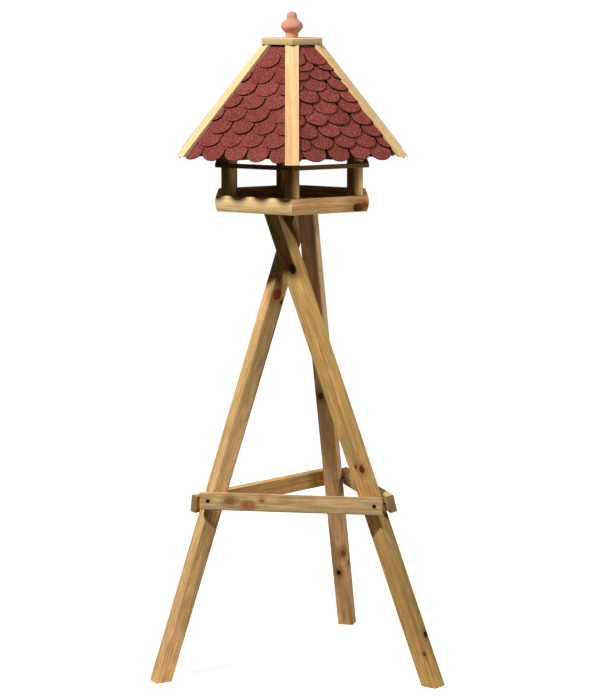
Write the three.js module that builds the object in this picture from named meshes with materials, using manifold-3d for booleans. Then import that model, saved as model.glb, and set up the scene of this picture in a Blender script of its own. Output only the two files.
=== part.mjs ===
// Bird table: an open six-sided feeder with a scalloped shingle roof, on a crossed tripod.
// Millimetres, +Z up, with one corner of the feeder towards -Y.
import * as THREE from 'three';
import { mergeVertices } from 'three/addons/utils/BufferGeometryUtils.js';
import { ConvexGeometry } from 'three/addons/geometries/ConvexGeometry.js';
import Module from 'manifold-3d';

const wasm = await Module();
wasm.setup();

// Driving dimensions

const trayHeight = 981; // ground to the underside of the tray
const trayPointRadius = 183.4; // centre to a corner, at the fullest part of the rim
const rimHeight = 33;
const rimThickness = 12; // at its fullest part
const rimTopSetback = 2; // how far the rounded face draws in at the top edge
const rimFootSetback = 4.4; // and at the bottom edge
const rimFullHeight = 18.5; // height of the fullest part above the bottom edge
const floorThickness = 8.5;

const postDiameter = 30;
const backPostSlip = 22; // the post at the back stands this far along the rim from its corner
const entryHeight = 58; // clear height between the rim and the ring above it
const ringHeight = 9;

const eaveRise = 16; // from the top of the ring to the foot of the ridge battens
const roofPointRadius = 266.5; // centre to the tip of a ridge batten
const roofHeight = 224.5; // from the foot of the ridge battens to the underside of the cap
const battenWidth = 28;
const battenThickness = 8;
const boardThickness = 9;
const boardLift = 7; // the roof boards' lower edge lies this far above the batten feet

const shingleThickness = 2.8;
const shingleBond = 0.2; // how far each course is pressed into the one below
const scallopWidth = 53;
const scallopDepth = 16;
const shingleOverhang = 20; // past the lower edge of the roof boards
const shingleStripHeight = 62; // the top course shows all of it
const firstExposureExtra = 2.8; // the eave course shows a little more than the others
const shingleExposure = 30; // mean height of a course that shows
const narrowestExposure = 5; // a course that would show less than this is left out

const capPointRadius = 72.3;
const capThickness = 13.3;
const battenHeadSetback = 7; // the batten heads lie this far inside the cap's corners
const finialHeight = 54;
const finialRadius = 23;
const tenonRadius = 6;
const tenonLength = 10;

const legSection = 36; // square
const footCircle = 336; // mean radius of the three feet about the feeder's axis
const stretcherHeight = 37;
const stretcherThickness = 16;
const stretcherOverrun = 23; // past the middle of each leg

const screwRadius = 2;
const screwHeadRadius = 4;
const screwHeadDepth = 3;
const screwFromEnd = 17; // from the end of a stretcher
const floorScrewLength = 36; // down through the tray floor into a leg
const crossingScrewBite = 22; // past the first leg

const clearance = 0.3; // between pieces that touch
const cutOverrun = 2; // how far a cutting shape runs past the surface that it cuts

// Counts of sides, how finely the curves are divided, and how often a fit is refined

const sides = 6;
const postSides = 24;
const finialSides = 24;
const finialSteps = 20;
const screwSides = 8;
const rimFaceSteps = 5;
const scallopSteps = 6;
const seatingPasses = 3;
const headFittingPasses = 24;

// Sizes that follow from the driving dimensions

const cos30 = Math.cos(Math.PI / sides);
const sin30 = Math.sin(Math.PI / sides);
const tan30 = Math.tan(Math.PI / sides);
const rimFullApothem = trayPointRadius * cos30;
const frameInnerApothem = rimFullApothem - rimThickness;
const floorTop = trayHeight + floorThickness;
const rimTop = trayHeight + rimHeight;
const ringBottom = rimTop + entryHeight;
const ringTop = ringBottom + ringHeight;
const eaveHeight = ringTop + eaveRise;
const postRadius = postDiameter / 2;
const postCircle = (frameInnerApothem - postRadius - clearance) / cos30;
const battenHeadRadius = capPointRadius - battenHeadSetback;
const ridgePitch = Math.atan(roofHeight / (roofPointRadius - battenHeadRadius));
const facePitch = Math.atan(Math.tan(ridgePitch) / cos30);
const capBottom = eaveHeight + roofHeight;
const capTop = capBottom + capThickness;
const roofTop = capBottom - clearance;
const standHeight = trayHeight - clearance;

// Colours of the finishes, as they look in daylight

const finishes = {
  tannedPine: { color: 0xa97c45, roughness: 0.75, metalness: 0 },
  palePine: { color: 0xe3c283, roughness: 0.7, metalness: 0 },
  darkPine: { color: 0x4f3d22, roughness: 0.8, metalness: 0 },
  greyBoard: { color: 0x8c8578, roughness: 0.85, metalness: 0 },
  beech: { color: 0xd79f86, roughness: 0.55, metalness: 0 },
  redBitumen: { color: 0x7d3a33, roughness: 0.95, metalness: 0 },
  darkSteel: { color: 0x3a352f, roughness: 0.45, metalness: 0.8 },
};

const birdTable = new THREE.Group();

function addPiece(name, geometry, finish) {
  const piece = new THREE.Mesh(geometry, new THREE.MeshStandardMaterial(finishes[finish]));
  piece.name = name;
  birdTable.add(piece);
  return piece;
}

// Joining and cutting

function toManifold(geometry) {
  const bare = geometry.clone();
  bare.deleteAttribute('normal');
  bare.deleteAttribute('uv');
  const merged = mergeVertices(bare);
  return new wasm.Manifold(new wasm.Mesh({
    numProp: 3,
    vertProperties: new Float32Array(merged.attributes.position.array),
    triVerts: new Uint32Array(merged.index.array),
  }));
}

function fromManifold(solid) {
  const mesh = solid.getMesh();
  const geometry = new THREE.BufferGeometry();
  geometry.setAttribute('position', new THREE.BufferAttribute(new Float32Array(mesh.vertProperties), 3));
  geometry.setIndex(new THREE.BufferAttribute(new Uint32Array(mesh.triVerts), 1));
  return geometry;
}

function withHoles(geometry, holes) {
  const cut = holes.reduce((solid, hole) => solid.subtract(toManifold(hole)), toManifold(geometry));
  return fromManifold(cut);
}

function common(geometry, limits) {
  return fromManifold(toManifold(geometry).intersect(toManifold(limits)));
}

// Places round the six-sided plan. A corner or a face is named by where it lies.

const corners = {
  front: -90, right_front: -30, right_back: 30, back: 90, left_back: 150, left_front: 210,
};
const faces = {
  front_right: -60, right: 0, back_right: 60, back_left: 120, left: 180, front_left: 240,
};

function polar(radius, degrees, height) {
  const angle = THREE.MathUtils.degToRad(degrees);
  return new THREE.Vector3(radius * Math.cos(angle), radius * Math.sin(angle), height);
}

function turned(geometry, degrees) {
  return geometry.rotateZ(THREE.MathUtils.degToRad(degrees));
}

// A bar along one side of the plan, mitred at both ends. Its section is a convex list of
// [apothem, height] points, and it is built on the +X side.
function mitredBar(section) {
  const joint = clearance / 2 / cos30;
  const points = [];
  for (const [apothem, height] of section) {
    const half = apothem * tan30 - joint;
    points.push(new THREE.Vector3(apothem, half, height), new THREE.Vector3(apothem, -half, height));
  }
  return new ConvexGeometry(points);
}

// A prism with the six-sided plan, its corners in line with the posts
function hexagonPlate(pointRadius, bottom, thickness) {
  const plate = new THREE.CylinderGeometry(pointRadius, pointRadius, thickness, sides);
  plate.rotateX(Math.PI / 2);
  plate.translate(0, 0, bottom + thickness / 2);
  return plate;
}

// Screws: countersunk, with the head flush. A hole is the screw with the clearance all round.

function lathed(profile) {
  const outline = profile.map(([radius, height]) => new THREE.Vector2(radius, height));
  return new THREE.LatheGeometry(outline, screwSides).rotateX(Math.PI / 2);
}

function screwShape(length) {
  const neck = length - screwHeadDepth;
  return lathed([
    [0, 0], [screwRadius, screwRadius], [screwRadius, neck], [screwHeadRadius, length], [0, length],
  ]);
}

function screwHoleShape(length) {
  const neck = length - screwHeadDepth;
  const shank = screwRadius + clearance;
  const head = screwHeadRadius + clearance;
  return lathed([
    [0, -clearance], [shank, -clearance], [shank, neck], [head, length],
    [head, length + cutOverrun], [0, length + cutOverrun],
  ]);
}

// A screw starts at the middle of its head's face and runs along a direction into the wood
function placed(shape, { head, into, length }) {
  const turn = new THREE.Quaternion().setFromUnitVectors(new THREE.Vector3(0, 0, -1), into);
  return shape.translate(0, 0, -length).applyQuaternion(turn).translate(head.x, head.y, head.z);
}

function screwHoles(screws) {
  return screws.map((screw) => placed(screwHoleShape(screw.length), screw));
}

function addScrew(screw) {
  addPiece(screw.name, placed(screwShape(screw.length), screw), 'darkSteel');
}

const straightDown = new THREE.Vector3(0, 0, -1);

// Legs: straight square timbers that pass each other like the poles of a tripod. Each has its
// foot and its head at named places round the axis, in degrees and in shares of the two circles,
// and is rolled a little about its own length.

const legPlaceShares = {
  leg_right: { foot: 1.048, footAt: -33.6, head: 0.93, headAt: 193.4, roll: -8.9 },
  leg_left: { foot: 0.944, footAt: 209.6, head: 1.085, headAt: 67.4, roll: -7.9 },
  leg_rear: { foot: 1.004, footAt: 68.2, head: 1.074, headAt: -46, roll: 1.4 },
};

function legAt(place, headCircle) {
  const foot = polar(footCircle * place.foot, place.footAt, 0);
  const head = polar(headCircle * place.head, place.headAt, trayHeight);
  const axis = head.clone().sub(foot).normalize();
  const level = new THREE.Vector3(axis.x, axis.y, 0).normalize();
  const across = axis.clone().cross(level).normalize();
  const roll = THREE.MathUtils.degToRad(place.roll);
  const u = across.clone().applyAxisAngle(axis, roll);
  return { foot, axis, u, v: axis.clone().cross(u) };
}

function reachAlong(leg, direction) {
  return (legSection / 2) * (Math.abs(leg.u.dot(direction)) + Math.abs(leg.v.dot(direction)));
}

// Where two legs pass each other: the nearest points of their axes, and the air between them
function crossingOf(a, b) {
  const normal = a.axis.clone().cross(b.axis).normalize();
  const between = b.foot.clone().sub(a.foot);
  const turn = a.axis.dot(b.axis);
  const along = (between.dot(a.axis) - turn * between.dot(b.axis)) / (1 - turn * turn);
  const pointOnA = a.axis.clone().multiplyScalar(along).add(a.foot);
  const apart = between.dot(normal);
  const gap = Math.abs(apart) - reachAlong(a, normal) - reachAlong(b, normal);
  return { pointOnA, pointOnB: pointOnA.clone().addScaledVector(normal, apart), gap };
}

function legsWith(headCircle) {
  const places = Object.entries(legPlaceShares);
  return Object.fromEntries(places.map(([name, place]) => [name, legAt(place, headCircle)]));
}

function tightestGap(headCircle) {
  const { leg_right: right, leg_left: left, leg_rear: rear } = legsWith(headCircle);
  return Math.min(crossingOf(right, left).gap, crossingOf(left, rear).gap, crossingOf(rear, right).gap);
}

// The heads stand just far enough apart for the legs to clear each other where they cross
function fittedHeadCircle() {
  let tooTight = 0;
  let wide = footCircle;
  for (let pass = 0; pass < headFittingPasses; pass += 1) {
    const middle = (tooTight + wide) / 2;
    if (tightestGap(middle) < clearance) tooTight = middle;
    else wide = middle;
  }
  return wide;
}

const legs = legsWith(fittedHeadCircle());

// The four long edges of a leg, each as a point at the foot's level and the leg's direction
function legEdges(leg) {
  const half = legSection / 2;
  return [[half, half], [half, -half], [-half, half], [-half, -half]].map(([alongU, alongV]) =>
    leg.foot.clone().addScaledVector(leg.u, alongU).addScaledVector(leg.v, alongV));
}

function axisAt(leg, height) {
  return leg.foot.clone().addScaledVector(leg.axis, height / leg.axis.z);
}

function legGeometry(leg) {
  const ends = [];
  for (const start of legEdges(leg)) {
    for (const height of [0, standHeight]) {
      ends.push(start.clone().addScaledVector(leg.axis, (height - start.z) / leg.axis.z));
    }
  }
  return new ConvexGeometry(ends);
}

// Stretchers: laths laid flat against the outside of two legs and screwed to them. Heights are
// shares of the tray's height, at the first and the second leg, going anticlockwise.

const stretcherHeightShares = {
  stretcher_front: { from: 'leg_left', to: 'leg_right', fromShare: 0.3765, toShare: 0.3745 },
  stretcher_right: { from: 'leg_right', to: 'leg_rear', fromShare: 0.373, toShare: 0.362 },
  stretcher_left: { from: 'leg_rear', to: 'leg_left', fromShare: 0.3625, toShare: 0.3645 },
};
const stretcherScrewBiteShare = 0.9; // of half a leg's section

// How far a leg stands out past a point of its axis, within a lath's height
function standOut(leg, point, outward, upward) {
  let most = 0;
  for (const start of legEdges(leg)) {
    for (const edge of [stretcherHeight / 2, -stretcherHeight / 2]) {
      const rise = edge - start.clone().sub(point).dot(upward);
      const touch = start.clone().addScaledVector(leg.axis, rise / leg.axis.dot(upward));
      most = Math.max(most, touch.sub(point).dot(outward));
    }
  }
  return most;
}

function stretcherAt({ from, to, fromShare, toShare }) {
  const first = axisAt(legs[from], trayHeight * fromShare);
  const last = axisAt(legs[to], trayHeight * toShare);
  const lean = legs[from].axis.clone().add(legs[to].axis);
  let along = last.clone().sub(first).normalize();
  let outward = along.clone().cross(lean).normalize();
  let upward = outward.clone().cross(along);
  let start = first;
  let end = last;
  for (let pass = 0; pass < seatingPasses; pass += 1) {
    const seat = (leg, point) => point.clone()
      .addScaledVector(outward, standOut(leg, point, outward, upward) + clearance);
    start = seat(legs[from], first);
    end = seat(legs[to], last);
    along = end.clone().sub(start).normalize();
    outward = along.clone().cross(lean).normalize();
    upward = outward.clone().cross(along);
  }
  start.addScaledVector(along, -stretcherOverrun);
  end.addScaledVector(along, stretcherOverrun);
  return { from, to, start, end, along, outward, upward };
}

function stretcherGeometry({ start, end, outward, upward }) {
  const points = [];
  for (const place of [start, end]) {
    for (const rise of [-stretcherHeight / 2, stretcherHeight / 2]) {
      for (const depth of [0, stretcherThickness]) {
        points.push(place.clone().addScaledVector(upward, rise).addScaledVector(outward, depth));
      }
    }
  }
  return new ConvexGeometry(points);
}

const stretchers = Object.fromEntries(
  Object.entries(stretcherHeightShares).map(([name, place]) => [name, stretcherAt(place)]),
);

// Screws of the stand: two in each stretcher, one up through the crossing, one down into each leg

const stretcherScrewLength = stretcherThickness + (legSection / 2) * stretcherScrewBiteShare;

function stretcherScrews([name, { from, to, start, end, along, outward }]) {
  return [[from, start, screwFromEnd], [to, end, -screwFromEnd]].map(([leg, place, inset]) => ({
    name: `screw_${name}_${leg}`,
    head: place.clone().addScaledVector(along, inset).addScaledVector(outward, stretcherThickness),
    into: outward.clone().negate(),
    length: stretcherScrewLength,
  }));
}

function crossingScrew() {
  const { pointOnA, pointOnB } = crossingOf(legs.leg_right, legs.leg_left);
  const towards = pointOnA.clone().sub(pointOnB).normalize();
  const { u, v } = legs.leg_left;
  const square = Math.abs(u.dot(towards)) > Math.abs(v.dot(towards)) ? u : v;
  const into = square.clone().multiplyScalar(Math.sign(square.dot(towards)));
  const head = pointOnB.clone().addScaledVector(into, -legSection / 2);
  return { name: 'screw_leg_crossing', head, into, length: legSection + crossingScrewBite };
}

const screwsOfFloor = Object.entries(legs).map(([name, leg]) => ({
  name: `screw_floor_${name}`,
  head: axisAt(leg, trayHeight).setZ(floorTop),
  into: straightDown,
  length: floorScrewLength,
}));
const screwsOfStand = [
  ...Object.entries(stretchers).flatMap(stretcherScrews), crossingScrew(), ...screwsOfFloor,
];

for (const [name, leg] of Object.entries(legs)) {
  addPiece(name, withHoles(legGeometry(leg), screwHoles(screwsOfStand)), 'tannedPine');
}
for (const [name, stretcher] of Object.entries(stretchers)) {
  const holes = screwHoles(stretcherScrews([name, stretcher]));
  addPiece(name, withHoles(stretcherGeometry(stretcher), holes), 'tannedPine');
}
screwsOfStand.forEach(addScrew);

// Posts: round dowels in the corners of the tray, cut off under the roof boards

function postPlace(corner) {
  const place = polar(postCircle, corners[corner], 0);
  if (corner !== 'back') return place;
  return place.lerp(polar(postCircle, corners.left_back, 0), backPostSlip / postCircle);
}

// Tray: six mitred rims with a rounded outer face, round a six-sided floor

function rimSection() {
  const foot = new THREE.Vector2(rimFullApothem - rimFootSetback, trayHeight);
  const full = new THREE.Vector2(rimFullApothem, trayHeight + rimFullHeight);
  const top = new THREE.Vector2(rimFullApothem - rimTopSetback, rimTop);
  const chord = foot.clone().lerp(top, 1 / 2);
  const bulge = full.clone().add(full.clone().sub(chord));
  const face = new THREE.QuadraticBezierCurve(foot, bulge, top).getPoints(rimFaceSteps);
  const inner = [[frameInnerApothem, trayHeight], [frameInnerApothem, rimTop]];
  return [...face.map(({ x, y }) => [x, y]), ...inner];
}

const floorPlate = hexagonPlate(frameInnerApothem / cos30 - clearance / cos30, trayHeight, floorThickness);
addPiece('tray_floor', withHoles(floorPlate, screwHoles(screwsOfFloor)), 'greyBoard');
for (const [side, degrees] of Object.entries(faces)) {
  addPiece(`tray_rim_${side}`, turned(mitredBar(rimSection()), degrees), 'tannedPine');
}

// Ring: a thin mitred lath on each side, outside the posts, just under the eaves

for (const [side, degrees] of Object.entries(faces)) {
  const section = [];
  for (const apothem of [frameInnerApothem, rimFullApothem]) {
    section.push([apothem, ringBottom], [apothem, ringTop]);
  }
  addPiece(`ring_lath_${side}`, turned(mitredBar(section), degrees), 'darkPine');
}

// Roof: the planes of its faces, worked out inwards from the top faces of the ridge battens

const slopeUp = { apothem: -Math.cos(facePitch), height: Math.sin(facePitch) };
const slopeOut = { apothem: Math.sin(facePitch), height: Math.cos(facePitch) };

function battenRadiusAt(height) {
  return roofPointRadius - (height - eaveHeight) / Math.tan(ridgePitch);
}

// Courses of one side. Places are along the slope from the boards' lower edge, and lifts are
// square to it. Each strip rests with its lower edge on the strip below and with its upper edge
// on the boards, and the lowest lies flat.

const layShares = {
  front_right: { exposure: 0.94, start: -0.485 },
  right: { exposure: 0.99, start: 0.12 },
  back_right: { exposure: 1.03, start: -0.2 },
  back_left: { exposure: 0.96, start: 0.3 },
  left: { exposure: 1.01, start: -0.08 },
  front_left: { exposure: 1.057, start: -0.085 },
};

const layerStep = shingleThickness - shingleBond;
const boardFootHeight = eaveHeight + boardLift;
const slopeLength = (roofTop - boardFootHeight) / slopeUp.height;
const topCourseStart = slopeLength - shingleStripHeight;

function laidOn(below, start) {
  const rise = (below.start + shingleStripHeight - start) * below.slant + layerStep;
  return { start, slant: rise / shingleStripHeight };
}

function coursesOf(side) {
  const exposure = shingleExposure * layShares[side].exposure;
  const courses = [{ start: -shingleOverhang, slant: 0 }];
  let start = exposure + firstExposureExtra - shingleOverhang;
  while (start < topCourseStart - narrowestExposure) {
    courses.push(laidOn(courses.at(-1), start));
    start += exposure;
  }
  courses.push(laidOn(courses.at(-1), topCourseStart));
  return courses;
}

function liftOf({ slant }) {
  return clearance + shingleStripHeight * slant;
}

// The battens lie on the mitres of the boards
const battenToBoards = (battenThickness + clearance) / Math.sin(ridgePitch);

function boardApothemAt(height) {
  return (battenRadiusAt(height) - battenToBoards) * cos30;
}

// Roof boards: one trapezoid on each side, mitred to its neighbours along the hips

const boardFootApothem = boardApothemAt(boardFootHeight);
const boardHeadApothem = boardApothemAt(roofTop);
const boardRun = boardThickness / Math.sin(facePitch); // thickness measured level

const boardSection = [
  [boardFootApothem, boardFootHeight],
  [boardFootApothem - boardThickness * slopeOut.apothem, boardFootHeight - boardThickness * slopeOut.height],
  [boardHeadApothem - boardRun, roofTop],
  [boardHeadApothem, roofTop],
];
for (const [side, degrees] of Object.entries(faces)) {
  addPiece(`roof_board_${side}`, turned(mitredBar(boardSection), degrees), 'greyBoard');
}

// The room under the boards, which the posts are cut to
function roomUnderRoof() {
  const points = [];
  for (const height of [trayHeight, roofTop]) {
    const radius = (boardApothemAt(height) - boardRun - clearance / Math.sin(facePitch)) / cos30;
    for (const degrees of Object.values(corners)) points.push(polar(radius, degrees, height));
  }
  return new ConvexGeometry(points);
}

for (const corner of Object.keys(corners)) {
  const bottom = floorTop + clearance;
  const place = postPlace(corner);
  const post = new THREE.CylinderGeometry(postRadius, postRadius, roofTop - bottom, postSides);
  post.rotateX(Math.PI / 2).translate(place.x, place.y, (roofTop + bottom) / 2);
  addPiece(`post_${corner}`, common(post, roomUnderRoof()), 'tannedPine');
}

// Shingles: strips with scalloped lower edges, stuck to each other in courses and cut off along
// the sides of the battens, so that each side's covering is one skin

function courseOutline(firstCentre, halfWidth) {
  const radius = (scallopWidth ** 2 / 4 + scallopDepth ** 2) / (2 * scallopDepth);
  const outline = new THREE.Shape();
  const count = Math.ceil(halfWidth / scallopWidth) + 1;
  const left = firstCentre - (count + 1 / 2) * scallopWidth;
  outline.moveTo(left, scallopDepth);
  for (let i = 1; i <= (2 * count + 1) * scallopSteps; i += 1) {
    const x = left + (i * scallopWidth) / scallopSteps;
    const off = ((i % scallopSteps) / scallopSteps - 1 / 2) * scallopWidth;
    outline.lineTo(x, radius - Math.sqrt(radius ** 2 - off ** 2));
  }
  outline.lineTo(left + (2 * count + 1) * scallopWidth, shingleStripHeight);
  outline.lineTo(left, shingleStripHeight);
  return outline;
}

function courseGeometry(side, course, index) {
  const shift = (layShares[side].start + (index % 2) / 2) * scallopWidth;
  const outline = courseOutline(shift, roofPointRadius / 2);
  const strip = new THREE.ExtrudeGeometry(outline, {
    depth: shingleThickness, bevelEnabled: false, steps: 1,
  });
  strip.rotateX(-Math.atan(course.slant));
  strip.translate(0, course.start, liftOf(course));
  const place = new THREE.Matrix4().makeBasis(
    new THREE.Vector3(0, 1, 0),
    new THREE.Vector3(slopeUp.apothem, 0, slopeUp.height),
    new THREE.Vector3(slopeOut.apothem, 0, slopeOut.height),
  );
  place.setPosition(boardFootApothem, 0, boardFootHeight);
  return strip.applyMatrix4(place);
}

// The room between two battens, from the ground to the head of the roof
function bay() {
  const inner = (battenWidth / 2 + clearance) / sin30;
  const half = (roofPointRadius - inner) * tan30;
  const points = [];
  for (const height of [0, roofTop]) {
    points.push(
      new THREE.Vector3(inner, 0, height),
      new THREE.Vector3(roofPointRadius, half, height),
      new THREE.Vector3(roofPointRadius, -half, height),
    );
  }
  return new ConvexGeometry(points);
}

for (const [side, degrees] of Object.entries(faces)) {
  const strips = coursesOf(side).map((course, index) => toManifold(courseGeometry(side, course, index)));
  const skin = strips.reduce((joined, strip) => joined.add(strip)).intersect(toManifold(bay()));
  addPiece(`shingles_${side}`, turned(fromManifold(skin), degrees), 'redBitumen');
}

// Ridge battens: planed laths over the hips, cut level at the eaves and under the cap. The front
// one comes down a little further than the rest.

const battenReachShares = {
  front: 1.024, right_front: 1, right_back: 1, back: 1, left_back: 1, left_front: 1,
};

function battenGeometry(corner) {
  const depth = battenThickness / Math.sin(ridgePitch);
  const extraReach = roofPointRadius * (battenReachShares[corner] - 1);
  const points = [];
  for (const height of [eaveHeight - extraReach * Math.tan(ridgePitch), roofTop]) {
    for (const radius of [battenRadiusAt(height), battenRadiusAt(height) - depth]) {
      for (const y of [-battenWidth / 2, battenWidth / 2]) points.push(new THREE.Vector3(radius, y, height));
    }
  }
  return new ConvexGeometry(points);
}

for (const [corner, degrees] of Object.entries(corners)) {
  addPiece(`ridge_batten_${corner}`, turned(battenGeometry(corner), degrees), 'palePine');
}

// Cap and finial: a six-sided plate with a turned knob let into it by a tenon

const boreDepth = tenonLength + clearance;
const bore = new THREE.CylinderGeometry(
  tenonRadius + clearance, tenonRadius + clearance, boreDepth + cutOverrun, finialSides,
);
bore.rotateX(Math.PI / 2).translate(0, 0, capTop + (cutOverrun - boreDepth) / 2);
addPiece('cap', withHoles(hexagonPlate(capPointRadius, capBottom, capThickness), [bore]), 'palePine');

// Radius and height up the knob, as shares of its own
const finialProfileShares = [
  [0.54, 0], [0.57, 0.11], [0.6, 0.19], [0.9, 0.33], [1, 0.44], [0.89, 0.57],
  [0.62, 0.66], [0.47, 0.75], [0.45, 0.83], [0.39, 0.92], [0.2, 0.985], [0, 1],
];

function finialGeometry() {
  const base = capTop + clearance;
  const knob = finialProfileShares.map(([radius, height]) =>
    new THREE.Vector2(radius * finialRadius, base + height * finialHeight));
  const outline = [
    new THREE.Vector2(0, capTop - tenonLength),
    new THREE.Vector2(tenonRadius, capTop - tenonLength),
    new THREE.Vector2(tenonRadius, base),
    ...new THREE.SplineCurve(knob).getPoints(finialSteps),
  ];
  return new THREE.LatheGeometry(outline, finialSides).rotateX(Math.PI / 2);
}

addPiece('finial', finialGeometry(), 'beech');

// The origin is on the ground, under the middle of the whole table
const middle = new THREE.Box3().setFromObject(birdTable).getCenter(new THREE.Vector3());
birdTable.position.set(-middle.x, -middle.y, 0);

export default birdTable;
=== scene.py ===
# %% [markdown]
# # A bird table, piece by piece
# The table is an open six-sided feeder on a crossed tripod, with one corner of the feeder towards
# us. Its pieces come from the CAD frame, which gives the true sizes and places, and this lesson
# gives them their looks: softened timbers with grain that runs along each one, a roof of single
# granular shingles, a turned knob and dark screws. Blender works in metres here.

# %% Tools and the frame
import math
import random
from collections import namedtuple

import bmesh
import bpy
from mathutils import Matrix, Vector


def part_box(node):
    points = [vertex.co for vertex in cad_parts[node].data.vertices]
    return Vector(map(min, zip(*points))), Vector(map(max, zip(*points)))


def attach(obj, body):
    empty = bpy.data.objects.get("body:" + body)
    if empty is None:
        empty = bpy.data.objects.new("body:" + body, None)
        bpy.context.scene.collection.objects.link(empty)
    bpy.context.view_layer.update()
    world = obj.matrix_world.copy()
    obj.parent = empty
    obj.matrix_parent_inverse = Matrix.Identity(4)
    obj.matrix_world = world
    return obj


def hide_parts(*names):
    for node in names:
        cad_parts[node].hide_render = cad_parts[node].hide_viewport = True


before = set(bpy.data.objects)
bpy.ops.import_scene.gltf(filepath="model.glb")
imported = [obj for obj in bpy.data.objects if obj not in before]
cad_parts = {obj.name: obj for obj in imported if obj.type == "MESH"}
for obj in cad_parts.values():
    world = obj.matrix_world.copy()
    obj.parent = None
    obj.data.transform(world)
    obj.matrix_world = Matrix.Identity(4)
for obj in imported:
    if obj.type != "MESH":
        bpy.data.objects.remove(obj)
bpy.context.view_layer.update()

# %% [markdown]
# ## Where the feeder stands
# The frame's origin is on the ground, under the middle of the whole table. The feeder has an axis
# of its own, through the middle of its cap, and its corners and sides are named by where they lie
# round that axis, in degrees, with -90 towards us.

# %% The feeder's axis, corners and sides
MM = 0.001
UP = Vector((0, 0, 1))
CORNERS = {
    "front": -90, "right_front": -30, "right_back": 30,
    "back": 90, "left_back": 150, "left_front": 210,
}
SIDES = {
    "front_right": -60, "right": 0, "back_right": 60,
    "back_left": 120, "left": 180, "front_left": 240,
}

cap_low, cap_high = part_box("cap")
feeder_axis = (cap_low + cap_high) / 2
feeder_axis.z = 0


def outwards(degrees):
    angle = math.radians(degrees)
    return Vector((math.cos(angle), math.sin(angle), 0))


print("feeder axis", [round(value, 4) for value in feeder_axis])

# %% [markdown]
# ## The camera
# The photograph was taken from a little over chest height, five paces in front, with a long lens.
# Its place was worked out from the corners of the roof, the tray and the legs. The lens is given
# by how many pixels wide a thing looks that is as wide as it is far, in a frame of 600 by 700.

# %% Camera
FRAME_HEIGHT_PIXELS = 700
LENS_PIXELS = 2481
SENSOR_WIDTH = 36
CAMERA_AWAY = 5.2
CAMERA_HEIGHT = 1.469
CAMERA_DOWN = 0.151
CAMERA_RIGHT = 0.0032
CAMERA_REACH = 100


def show(thing):
    """Puts a new object in the scene."""
    bpy.context.scene.collection.objects.link(thing)


camera = bpy.data.objects.new("camera", bpy.data.cameras.new("camera"))
show(camera)
camera.data.sensor_width = SENSOR_WIDTH
camera.data.lens = SENSOR_WIDTH * LENS_PIXELS / FRAME_HEIGHT_PIXELS
camera.data.clip_end = CAMERA_REACH
camera.location = feeder_axis + Vector((0, -CAMERA_AWAY, CAMERA_HEIGHT))
camera.rotation_euler = (math.pi / 2 - CAMERA_DOWN, 0, -CAMERA_RIGHT)
bpy.context.scene.camera = camera
print("lens", round(camera.data.lens, 1), "mm")

# %% [markdown]
# ## Light
# The photograph has one bright lamp to the upper left of the camera, small enough to draw the
# scallops of the eaves as a shadow on the tray. A wide one above on the right lights the faces
# that turn away from it, and a weak one, near and low on the right, reaches in under the roof.
# All are area lamps, discs that shine one way. That they stand near matters here: the lower ends
# of the legs lie further from them and are darker, as in the photograph.

# %% Lamps
Lamp = namedtuple("Lamp", "azimuth elevation distance size power")

RIM_HEIGHT = 1.0
LAMPS = {
    "key lamp": Lamp(azimuth=-136.5, elevation=47.8, distance=3.0, size=0.28, power=136),
    "fill lamp": Lamp(azimuth=-20, elevation=-3, distance=0.8, size=0.2, power=1.8),
    "side lamp": Lamp(azimuth=-14, elevation=26, distance=2.6, size=0.6, power=29),
}


def shine(name, lamp):
    """A round lamp in its direction from the middle of the tray, turned towards it."""
    data = bpy.data.lights.new(name, "AREA")
    data.shape = "DISK"
    data.size = lamp.size
    data.energy = lamp.power
    light = bpy.data.objects.new(name, data)
    height = math.radians(lamp.elevation)
    towards = outwards(lamp.azimuth) * math.cos(height) + UP * math.sin(height)
    light.rotation_euler = towards.to_track_quat("Z", "Y").to_euler()
    light.location = feeder_axis + UP * RIM_HEIGHT + towards * lamp.distance
    show(light)
    print(name, "stands at", [round(value, 2) for value in light.location])


for name, lamp in LAMPS.items():
    shine(name, lamp)

# %% [markdown]
# ## Small tools for materials
# A material is a net of nodes, and writing one by hand repeats the same few lines. These helpers
# add a node, set or link its sockets, and turn a colour as it is seen into the linear values that
# a shader wants.

# %% Helpers for nodes
RESULT_COLOUR = 2
FIRST_COLOUR = 6
SECOND_COLOUR = 7


def paint(code):
    """A colour written as on screen, such as "c99f62", as linear red, green, blue and alpha."""
    linear = []
    for place in (0, 2, 4):
        value = int(code[place:place + 2], 16) / 255
        linear.append(value / 12.92 if value <= 0.04045 else ((value + 0.055) / 1.055) ** 2.4)
    return (*linear, 1)


def feed(tree, socket, value):
    """Links a socket, or sets it to a plain value."""
    if isinstance(value, bpy.types.NodeSocket):
        tree.links.new(value, socket)
    else:
        socket.default_value = value


def add_node(tree, kind, inputs=None, **settings):
    node = tree.nodes.new(kind)
    for setting, value in settings.items():
        setattr(node, setting, value)
    for socket, value in (inputs or {}).items():
        feed(tree, node.inputs[socket], value)
    return node


def calculate(tree, operation, *values):
    return add_node(tree, "ShaderNodeMath", dict(enumerate(values)), operation=operation).outputs[0]


def calculate_vector(tree, operation, *values):
    node = add_node(tree, "ShaderNodeVectorMath", dict(enumerate(values)), operation=operation)
    return node.outputs["Value" if operation in ("DOT_PRODUCT", "LENGTH", "DISTANCE") else "Vector"]


def mixed(tree, factor, first, second, blend="MIX"):
    """The first colour where the factor is 0 and the second where it is 1."""
    inputs = {0: factor, FIRST_COLOUR: first, SECOND_COLOUR: second}
    node = add_node(tree, "ShaderNodeMix", inputs, data_type="RGBA", blend_type=blend)
    return node.outputs[RESULT_COLOUR]


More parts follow.
